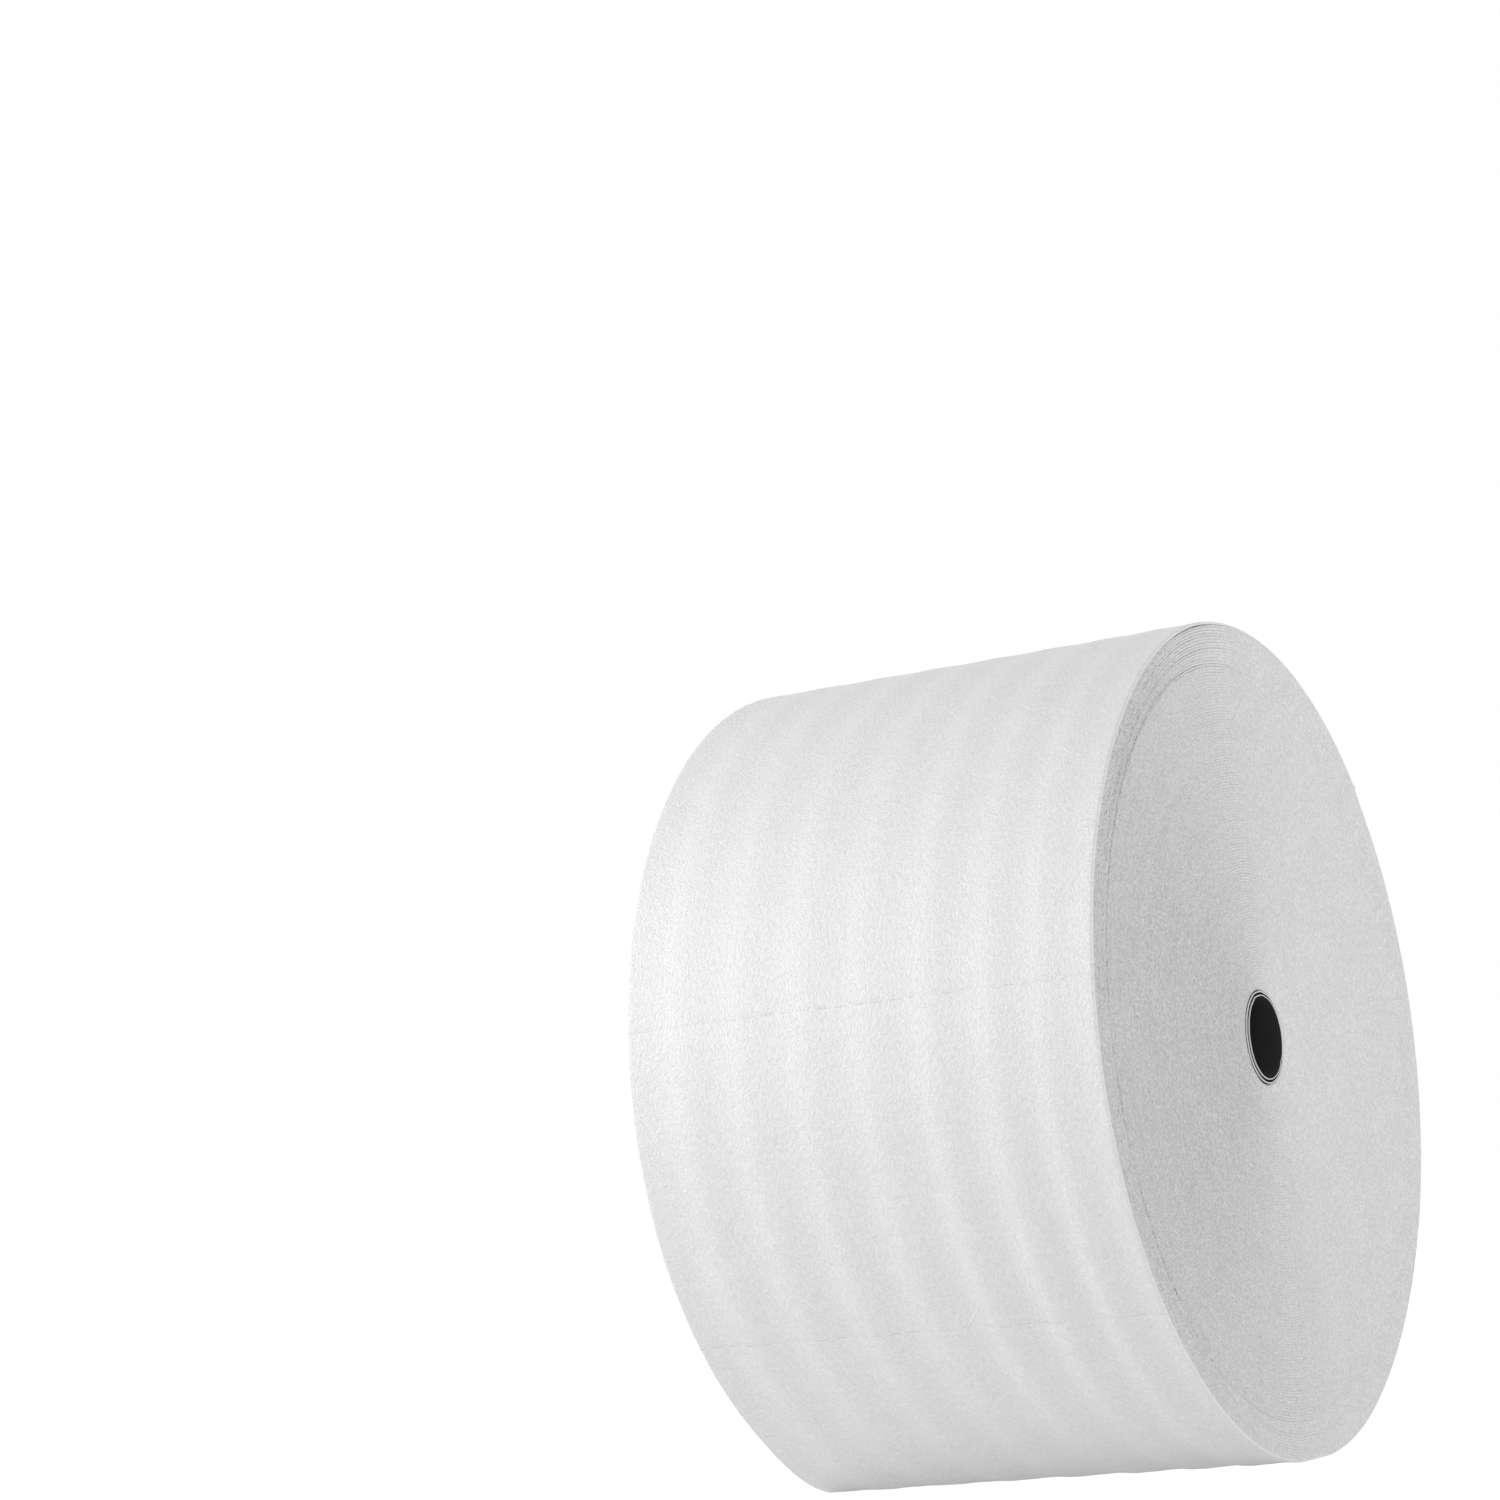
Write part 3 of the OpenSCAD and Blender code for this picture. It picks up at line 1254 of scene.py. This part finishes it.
@dataclass(frozen=True)
class PaperFinish:
    """Spiral-wound paperboard.

    Attributes:
        name: Name of the material.
        face: Colour of the paper.
        dark: Colour in the seams and between fibres.
        strip: Width of the wound strips along the tube.
        relief: Depth of the fibres and seams.
        roughness: Roughness of the paper.
        worn: How much the fibres darken it.
    """

    name: str
    face: Colour
    dark: Colour
    strip: float
    relief: float
    roughness: float = 0.85
    worn: float = 0.55

    def build(self, groups: dict[str, bpy.types.NodeTree]) -> bpy.types.Material:
        """Builds the material.

        Args:
            groups: The shared groups by name.

        Returns:
            The material.
        """
        surface = Surface(self.name, groups)
        turn, along = surface.sheet()
        where = surface.where()
        paper = surface.group("wound paper", Vector=where, Turn=turn, Along=along, Strip=self.strip)
        worn = surface.math("ADD", surface.math("MULTIPLY", paper["Fibres"], self.worn), paper["Seam"])
        height = surface.math("SUBTRACT", paper["Fibres"], paper["Seam"])
        bump = surface.add("Bump", Strength=1.0, Distance=self.relief, Height=height)
        surface.feed(surface.skin.inputs["Base Color"], surface.colours(worn, self.face, self.dark))
        surface.feed(surface.skin.inputs["Normal"], bump.outputs[0])
        surface.skin.inputs["Roughness"].default_value = self.roughness
        return surface.material


# Room, lamps and camera.


@dataclass(frozen=True)
class SoftBox:
    """A large soft lamp that faces the roll.

    Attributes:
        name: Name of the lamp.
        heading: Direction it stands in, in degrees from the front (-Y) towards the near end (+X).
        rise: How high it stands, in degrees.
        watts: Its power.
        distance: How far from the roll's centre it stands.
        wide: Its width.
        high: Its height.
        centre: The roll's centre.
    """

    name: str
    heading: float
    rise: float
    watts: float
    distance: float = 3.5
    wide: float = 1.6
    high: float = 1.4
    centre: tuple[float, float, float] = (0.0, 0.0, 0.38)

    def build(self) -> None:
        """Adds the lamp to the scene."""
        light = bpy.data.lights.new(self.name, "AREA")
        light.shape = "RECTANGLE"
        light.size, light.size_y = self.wide, self.high
        light.energy = self.watts
        lamp = bpy.data.objects.new(self.name, light)
        turn, rise = math.radians(self.heading), math.radians(self.rise)
        away = Vector((math.sin(turn) * math.cos(rise), -math.cos(turn) * math.cos(rise), math.sin(rise)))
        lamp.location = Vector(self.centre) + self.distance * away
        lamp.rotation_euler = (-away).to_track_quat("-Z", "Y").to_euler()
        bpy.context.scene.collection.objects.link(lamp)


@dataclass(frozen=True)
class Studio:
    """A pale floor in a white room with soft lamps, and the camera.

    Attributes:
        sky: Strength of the white light from all round.
        floor_glow: Strength of the light that the lit floor gives off.
        floor_half: Half the side of the floor.
        floor_drop: How far the floor lies under the roll.
        floor_colour: Colour of the floor.
        floor_white: Strength of the white that the eye sees there.
        shadow_ends: Distances from the floor's middle, under the roll, between which its shadow fades.
        least_white: Share of that white close to the roll.
        camera_place: Where the camera stands.
        heading: How far the camera is turned from +Y towards -X, in degrees.
        rise: How far it looks up, in degrees.
        tilt: How far it is rolled, in degrees.
        lens: Focal length, in mm.
        picture_width: Width of the picture that it is for, in mm.
        sight: How far the camera sees.
        lamps: The soft lamps.
    """

    sky: float = 0.436
    floor_glow: float = 0.31
    floor_half: float = 14.0
    floor_drop: float = 0.3 * MM
    floor_colour: Colour = (0.60, 0.60, 0.60, 1.0)
    floor_white: float = 1.25
    shadow_ends: tuple[float, float] = (0.45, 1.0)
    least_white: float = 0.78
    camera_place: tuple[float, float, float] = (1.50417, -3.20978, 0.24350)
    heading: float = 29.1903
    rise: float = 7.4546
    tilt: float = -5.3591
    lens: float = 89.319
    picture_width: float = 36.0
    sight: float = 200.0
    lamps: tuple[SoftBox, ...] = (
        SoftBox("key lamp", -50.0, 15.0, 45.8),
        SoftBox("high lamp", -60.0, 35.0, 24.0),
        SoftBox("end lamp", 70.0, 15.0, 23.3),
        SoftBox("back lamp", 110.0, 10.0, 11.9),
    )

    def build(self) -> None:
        """Builds the room, the lamps and the camera."""
        self.build_sky()
        self.build_floor()
        for lamp in self.lamps:
            lamp.build()
        self.build_camera()
        bpy.context.scene.view_settings.view_transform = "Standard"

    def seen(self, nodes: Nodes, mirrored: bool) -> bpy.types.NodeSocket:
        """Tells the rays that the eye follows from those that light the object.

        Args:
            nodes: The tree that asks.
            mirrored: Whether rays that a mirror sends on count too.

        Returns:
            A factor of 1 for rays that go straight to the eye or through glass.
        """
        path = nodes.add("LightPath").outputs
        total = nodes.math("MAXIMUM", path["Is Camera Ray"], path["Is Transmission Ray"])
        return nodes.math("MAXIMUM", total, path["Is Glossy Ray"]) if mirrored else total

    def build_sky(self) -> None:
        """Makes the world: white to the eye, a softer white as a light."""
        world = bpy.data.worlds.new("white room")
        world.use_nodes = True
        bpy.context.scene.world = world
        nodes = Nodes(world.node_tree)
        light = nodes.tree.nodes["Background"]
        light.inputs["Color"].default_value = WHITE
        light.inputs["Strength"].default_value = self.sky
        seen = nodes.add("Background", Color=WHITE, Strength=1.0)
        mix = nodes.add("MixShader")
        for socket, value in zip(mix.inputs, (self.seen(nodes, True), light.outputs[0], seen.outputs[0])):
            nodes.feed(socket, value)
        nodes.feed(nodes.tree.nodes["World Output"].inputs["Surface"], mix.outputs[0])

    def build_floor(self) -> None:
        """Makes the pale, softly lit floor, which keeps the roll's shadow."""
        corners = np.array([[-1.0, -1.0], [1.0, -1.0], [1.0, 1.0], [-1.0, 1.0]]) * self.floor_half
        points = np.column_stack([corners, np.full(4, -self.floor_drop)])
        patch = Patch(points, np.array([[0, 1, 2, 3]]), np.zeros_like(points), corners, 0)
        floor = build_piece("studio_floor", [patch])
        surface = Surface("pale floor", {})
        surface.skin.inputs["Base Color"].default_value = self.floor_colour
        surface.skin.inputs["Roughness"].default_value = 0.9
        surface.skin.inputs["Specular IOR Level"].default_value = 0.1
        surface.skin.inputs["Emission Color"].default_value = WHITE
        surface.skin.inputs["Emission Strength"].default_value = self.floor_glow
        white = surface.add("Emission", Color=WHITE, Strength=self.floor_white)
        far_off = surface.add("VectorMath", operation="LENGTH")
        surface.feed(far_off.inputs[0], surface.where())
        lit = surface.ramp(far_off.outputs["Value"], *self.shadow_ends)
        plain = surface.math("MAXIMUM", lit, self.least_white)
        share = surface.math("MULTIPLY", self.seen(surface, False), plain)
        mix = surface.add("MixShader")
        for socket, value in zip(mix.inputs, (share, surface.skin.outputs[0], white.outputs[0])):
            surface.feed(socket, value)
        surface.feed(surface.tree.nodes["Material Output"].inputs["Surface"], mix.outputs[0])
        floor.data.materials.append(surface.material)

    def build_camera(self) -> None:
        """Makes the camera at the photograph's viewing angle."""
        data = bpy.data.cameras.new("camera")
        data.sensor_width = self.picture_width
        data.lens = self.lens
        data.clip_end = self.sight
        camera = bpy.data.objects.new("camera", data)
        turn = Matrix.Rotation(math.radians(self.heading), 4, "Z")
        rise = Matrix.Rotation(math.radians(90.0 + self.rise), 4, "X")
        tilt = Matrix.Rotation(math.radians(self.tilt), 4, "Z")
        camera.matrix_world = Matrix.Translation(self.camera_place) @ turn @ rise @ tilt
        bpy.context.scene.collection.objects.link(camera)
        bpy.context.scene.camera = camera


# Both foam finishes paint the walls between cells darker as painted shade.
SKIN = FoamFinish(
    "foam skin", (0.91, 0.91, 0.912, 1.0), (0.80, 0.80, 0.805, 1.0), 0.42, 0.7 * MM, 470.0, tears_off=True
)
CUT_EDGE = FoamFinish("foam cut edge", (0.9, 0.9, 0.9, 1.0), (0.7, 0.7, 0.705, 1.0), 0.6, 0.5 * MM, 430.0)
BOARD = PaperFinish("paperboard", (0.80, 0.795, 0.78, 1.0), (0.55, 0.54, 0.52, 1.0), 90 * MM, 0.12 * MM)
# Painted shade: a near-black paper finish for the bore and the groove between the plies, which stand in
# shade.
LINER = PaperFinish("painted_shade", (0.034, 0.033, 0.031, 1.0), (0.008, 0.008, 0.007, 1.0), 75 * MM, 0.1 * MM)


def main() -> None:
    """Builds the roll, its core and the room."""
    logging.basicConfig(level=logging.INFO, format="%(name)s: %(message)s")
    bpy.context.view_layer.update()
    groups = {tree.name: tree for tree in (foam_cells_group(), perforation_group(), wound_paper_group())}
    sheet = FoamRoll(Winding()).build(SKIN.build(groups), CUT_EDGE.build(groups))
    core = Core().build(BOARD.build(groups), LINER.build(groups))
    for piece, node, slot in ((sheet, "foam_roll", "foam"), (core, "core_tube", "paperboard")):
        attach(piece, "root")
        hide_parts(node)
        LOG.info("%s: %d faces", piece.name, len(piece.data.polygons))
    Studio().build()


if __name__ == "__main__":
    main()
